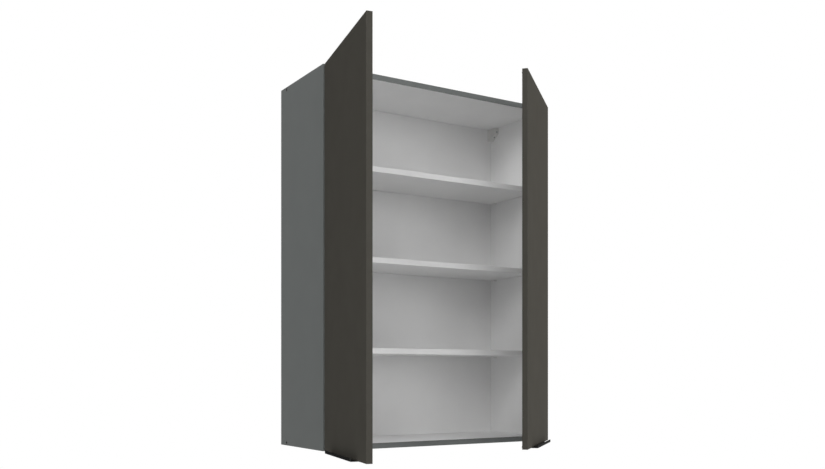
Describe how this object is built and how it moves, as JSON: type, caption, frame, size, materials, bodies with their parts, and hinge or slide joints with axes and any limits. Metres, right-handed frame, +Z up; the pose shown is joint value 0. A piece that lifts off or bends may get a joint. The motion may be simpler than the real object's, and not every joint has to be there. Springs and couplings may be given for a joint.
{
  "type": "wall cabinet",
  "caption": "Tall two-door kitchen wall cabinet with loose shelves, concealed cup hinges, edge handles under the doors and adjustable wall hangers.",
  "frame": {"origin": "wall plane, middle of the carcass's bottom edge", "axes": "+X to the right seen from the front, +Y towards the wall, +Z up; the doors face -Y"},
  "size_m": [0.8847, 0.6845, 1.08],
  "materials": {
    "carcass_board": "melamine-faced chipboard, grey outside and white inside",
    "back_board": "white lacquered fibreboard",
    "shelf_board": "white melamine-faced chipboard",
    "door_board": "matt graphite laminate",
    "carcass_edge": "grey edge band",
    "shelf_edge": "white edge band",
    "door_edge": "matt graphite edge band",
    "black_aluminium": "black anodised",
    "nickel_steel": "nickel plated",
    "zinc_steel": "zinc plated",
    "dark_steel": "black passivated",
    "white_plastic": "moulded white plastic",
    "clear_rubber": "clear soft bumper",
    "beech": "plain beech"
  },
  "bodies": {
    "carcass": {"left_side": "carcass_board", "right_side": "carcass_board", "top_panel": "carcass_board", "bottom_panel": "carcass_board", "back_panel": "back_board", "carcass_edge_bands": "carcass_edge", "lower_shelf": "shelf_board", "middle_shelf": "shelf_board", "upper_shelf": "shelf_board", "shelf_edge_bands": "shelf_edge", "shelf_pins": "white_plastic", "carcass_screws": "dark_steel", "dowels": "beech", "cam_bolts": "zinc_steel", "cams": "zinc_steel", "left_hanger_body": "white_plastic", "left_hanger_adjusters": "zinc_steel", "left_plate_screws": "nickel_steel", "left_arm_screws": "nickel_steel", "left_bottom_hinge_arm": "nickel_steel", "left_bottom_hinge_plate": "nickel_steel", "left_middle_hinge_arm": "nickel_steel", "left_middle_hinge_plate": "nickel_steel", "left_top_hinge_arm": "nickel_steel", "left_top_hinge_plate": "nickel_steel", "right_hanger_body": "white_plastic", "right_hanger_adjusters": "zinc_steel", "right_plate_screws": "nickel_steel", "right_arm_screws": "nickel_steel", "right_bottom_hinge_arm": "nickel_steel", "right_bottom_hinge_plate": "nickel_steel", "right_middle_hinge_arm": "nickel_steel", "right_middle_hinge_plate": "nickel_steel", "right_top_hinge_arm": "nickel_steel", "right_top_hinge_plate": "nickel_steel"},
    "left_door": {"left_door_panel": "door_board", "left_door_edge_bands": "door_edge", "left_door_bumpers": "clear_rubber", "left_handle": "black_aluminium", "left_handle_screws": "dark_steel", "left_hinge_pins": "nickel_steel", "left_hinge_springs": "nickel_steel", "left_cup_screws": "nickel_steel", "left_bottom_hinge_cup": "nickel_steel", "left_middle_hinge_cup": "nickel_steel", "left_top_hinge_cup": "nickel_steel"},
    "right_door": {"right_door_panel": "door_board", "right_door_edge_bands": "door_edge", "right_door_bumpers": "clear_rubber", "right_handle": "black_aluminium", "right_handle_screws": "dark_steel", "right_hinge_pins": "nickel_steel", "right_hinge_springs": "nickel_steel", "right_cup_screws": "nickel_steel", "right_bottom_hinge_cup": "nickel_steel", "right_middle_hinge_cup": "nickel_steel", "right_top_hinge_cup": "nickel_steel"},
    "left_hook": {"left_hanger_hook": "zinc_steel"},
    "right_hook": {"right_hanger_hook": "zinc_steel"}
  },
  "joints": [
    {"name": "left_door_swing", "type": "hinge", "parent": "carcass", "child": "left_door", "pos_m": [-0.3925, -0.3002, 0], "axis": [0, 0, -1], "range_deg": [-102, 3]},
    {"name": "right_door_swing", "type": "hinge", "parent": "carcass", "child": "right_door", "pos_m": [0.3925, -0.3002, 0], "axis": [0, 0, 1], "range_deg": [-41.5, 63.5]},
    {"name": "left_hook_height", "type": "slide", "parent": "carcass", "child": "left_hook", "axis": [0, 0, 1], "range_m": [-0.004, 0.004]},
    {"name": "right_hook_height", "type": "slide", "parent": "carcass", "child": "right_hook", "axis": [0, 0, 1], "range_m": [-0.004, 0.004]}
  ]
}
